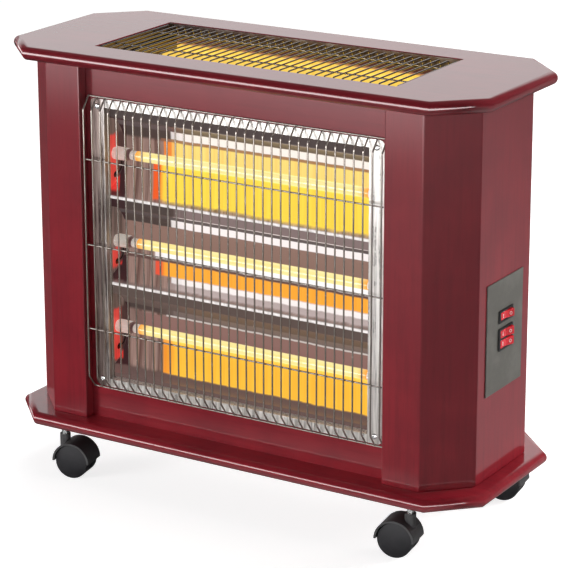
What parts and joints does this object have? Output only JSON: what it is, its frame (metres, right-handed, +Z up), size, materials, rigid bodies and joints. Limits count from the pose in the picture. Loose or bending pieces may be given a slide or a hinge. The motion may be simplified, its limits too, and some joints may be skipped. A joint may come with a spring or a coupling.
{
  "type": "halogen heater",
  "caption": "Electric room heater in an octagonal lacquered wood cabinet on twin-wheel casters, with quartz tubes in polished troughs behind wire guards and rocker switches on its side.",
  "frame": {"origin": "on the floor, under the middle of the cabinet", "axes": "+X runs to the right seen from the front, +Y to the back, +Z up"},
  "size_m": [0.64, 0.26, 0.534],
  "materials": {
    "lacquered_wood": "glossy cherry red lacquer",
    "grey_steel": "satin grey",
    "chromed_steel": "polished",
    "polished_aluminium": "mirror polished",
    "quartz": "clear",
    "coil_wire": "glowing orange",
    "ceramic": "white glaze",
    "plate_grey": "satin",
    "black_plastic": "satin",
    "cable_sleeve": "matt",
    "cream_plastic": "matt",
    "red_plastic": "glossy",
    "zinc_steel": "bright zinc"
  },
  "bodies": {
    "cabinet": {"top_board": "lacquered_wood", "base_board": "lacquered_wood", "left_front_post": "lacquered_wood", "left_front_corner": "lacquered_wood", "left_side_board": "lacquered_wood", "left_rear_corner": "lacquered_wood", "right_front_post": "lacquered_wood", "right_front_corner": "lacquered_wood", "right_side_board": "lacquered_wood", "right_rear_corner": "lacquered_wood", "front_panel": "lacquered_wood", "back_panel": "grey_steel", "front_frame": "chromed_steel", "front_guard": "chromed_steel", "upper_reflector": "polished_aluminium", "middle_reflector": "polished_aluminium", "lower_reflector": "polished_aluminium", "left_end_plate": "polished_aluminium", "right_end_plate": "polished_aluminium", "upper_tube": "quartz", "middle_tube": "quartz", "lower_tube": "quartz", "top_tube": "quartz", "heating_coils": "coil_wire", "ceramic_caps": "ceramic", "top_frame": "chromed_steel", "top_guard": "chromed_steel", "top_reflector": "polished_aluminium", "top_end_plates": "polished_aluminium", "switch_plate": "plate_grey", "single_switch_case": "black_plastic", "double_switch_case": "black_plastic", "terminal_block": "cream_plastic", "wiring": "cable_sleeve", "tip_over_switch": "black_plastic", "thermal_cutout": "black_plastic", "cord_gland": "black_plastic", "caster_sockets": "zinc_steel", "caster_stems": "zinc_steel", "screws": "zinc_steel"},
    "single_rocker": {"single_rocker": "red_plastic"},
    "double_upper_rocker": {"double_upper_rocker": "red_plastic"},
    "double_lower_rocker": {"double_lower_rocker": "red_plastic"},
    "front_left_caster": {"front_left_hood": "black_plastic", "front_left_axle": "zinc_steel"},
    "front_left_outer_wheel": {"front_left_outer_wheel": "black_plastic"},
    "front_left_inner_wheel": {"front_left_inner_wheel": "black_plastic"},
    "front_right_caster": {"front_right_hood": "black_plastic", "front_right_axle": "zinc_steel"},
    "front_right_outer_wheel": {"front_right_outer_wheel": "black_plastic"},
    "front_right_inner_wheel": {"front_right_inner_wheel": "black_plastic"},
    "rear_left_caster": {"rear_left_hood": "black_plastic", "rear_left_axle": "zinc_steel"},
    "rear_left_outer_wheel": {"rear_left_outer_wheel": "black_plastic"},
    "rear_left_inner_wheel": {"rear_left_inner_wheel": "black_plastic"},
    "rear_right_caster": {"rear_right_hood": "black_plastic", "rear_right_axle": "zinc_steel"},
    "rear_right_outer_wheel": {"rear_right_outer_wheel": "black_plastic"},
    "rear_right_inner_wheel": {"rear_right_inner_wheel": "black_plastic"}
  },
  "joints": [
    {"name": "single_rocker_tilt", "type": "hinge", "parent": "cabinet", "child": "single_rocker", "pos_m": [0.3, 0, 0.268], "axis": [0, 0, 1], "range_deg": [0, 18]},
    {"name": "double_upper_rocker_tilt", "type": "hinge", "parent": "cabinet", "child": "double_upper_rocker", "pos_m": [0.3, 0, 0.2469], "axis": [0, 0, 1], "range_deg": [0, 18]},
    {"name": "double_lower_rocker_tilt", "type": "hinge", "parent": "cabinet", "child": "double_lower_rocker", "pos_m": [0.3, 0, 0.2351], "axis": [0, 0, 1], "range_deg": [0, 18]},
    {"name": "front_left_swivel", "type": "hinge", "parent": "cabinet", "child": "front_left_caster", "pos_m": [-0.24, -0.105, 0.048], "axis": [0, 0, 1], "continuous": true},
    {"name": "front_left_outer_wheel_spin", "type": "hinge", "parent": "front_left_caster", "child": "front_left_outer_wheel", "pos_m": [-0.22621, -0.10257, 0.021], "axis": [-0.1736, 0.9848, 0], "continuous": true},
    {"name": "front_left_inner_wheel_spin", "type": "hinge", "parent": "front_left_caster", "child": "front_left_inner_wheel", "pos_m": [-0.22621, -0.10257, 0.021], "axis": [-0.1736, 0.9848, 0], "continuous": true},
    {"name": "front_right_swivel", "type": "hinge", "parent": "cabinet", "child": "front_right_caster", "pos_m": [0.24, -0.105, 0.048], "axis": [0, 0, 1], "continuous": true},
    {"name": "front_right_outer_wheel_spin", "type": "hinge", "parent": "front_right_caster", "child": "front_right_outer_wheel", "pos_m": [0.22614, -0.10695, 0.021], "axis": [0.1392, -0.9903, 0], "continuous": true},
    {"name": "front_right_inner_wheel_spin", "type": "hinge", "parent": "front_right_caster", "child": "front_right_inner_wheel", "pos_m": [0.22614, -0.10695, 0.021], "axis": [0.1392, -0.9903, 0], "continuous": true},
    {"name": "rear_left_swivel", "type": "hinge", "parent": "cabinet", "child": "rear_left_caster", "pos_m": [-0.24, 0.105, 0.048], "axis": [0, 0, 1], "continuous": true},
    {"name": "rear_left_outer_wheel_spin", "type": "hinge", "parent": "rear_left_caster", "child": "rear_left_outer_wheel", "pos_m": [-0.25386, 0.10695, 0.021], "axis": [-0.1392, -0.9903, 0], "continuous": true},
    {"name": "rear_left_inner_wheel_spin", "type": "hinge", "parent": "rear_left_caster", "child": "rear_left_inner_wheel", "pos_m": [-0.25386, 0.10695, 0.021], "axis": [-0.1392, -0.9903, 0], "continuous": true},
    {"name": "rear_right_swivel", "type": "hinge", "parent": "cabinet", "child": "rear_right_caster", "pos_m": [0.24, 0.105, 0.048], "axis": [0, 0, 1], "continuous": true},
    {"name": "rear_right_outer_wheel_spin", "type": "hinge", "parent": "rear_right_caster", "child": "rear_right_outer_wheel", "pos_m": [0.25386, 0.10695, 0.021], "axis": [-0.1392, 0.9903, 0], "continuous": true},
    {"name": "rear_right_inner_wheel_spin", "type": "hinge", "parent": "rear_right_caster", "child": "rear_right_inner_wheel", "pos_m": [0.25386, 0.10695, 0.021], "axis": [-0.1392, 0.9903, 0], "continuous": true}
  ]
}
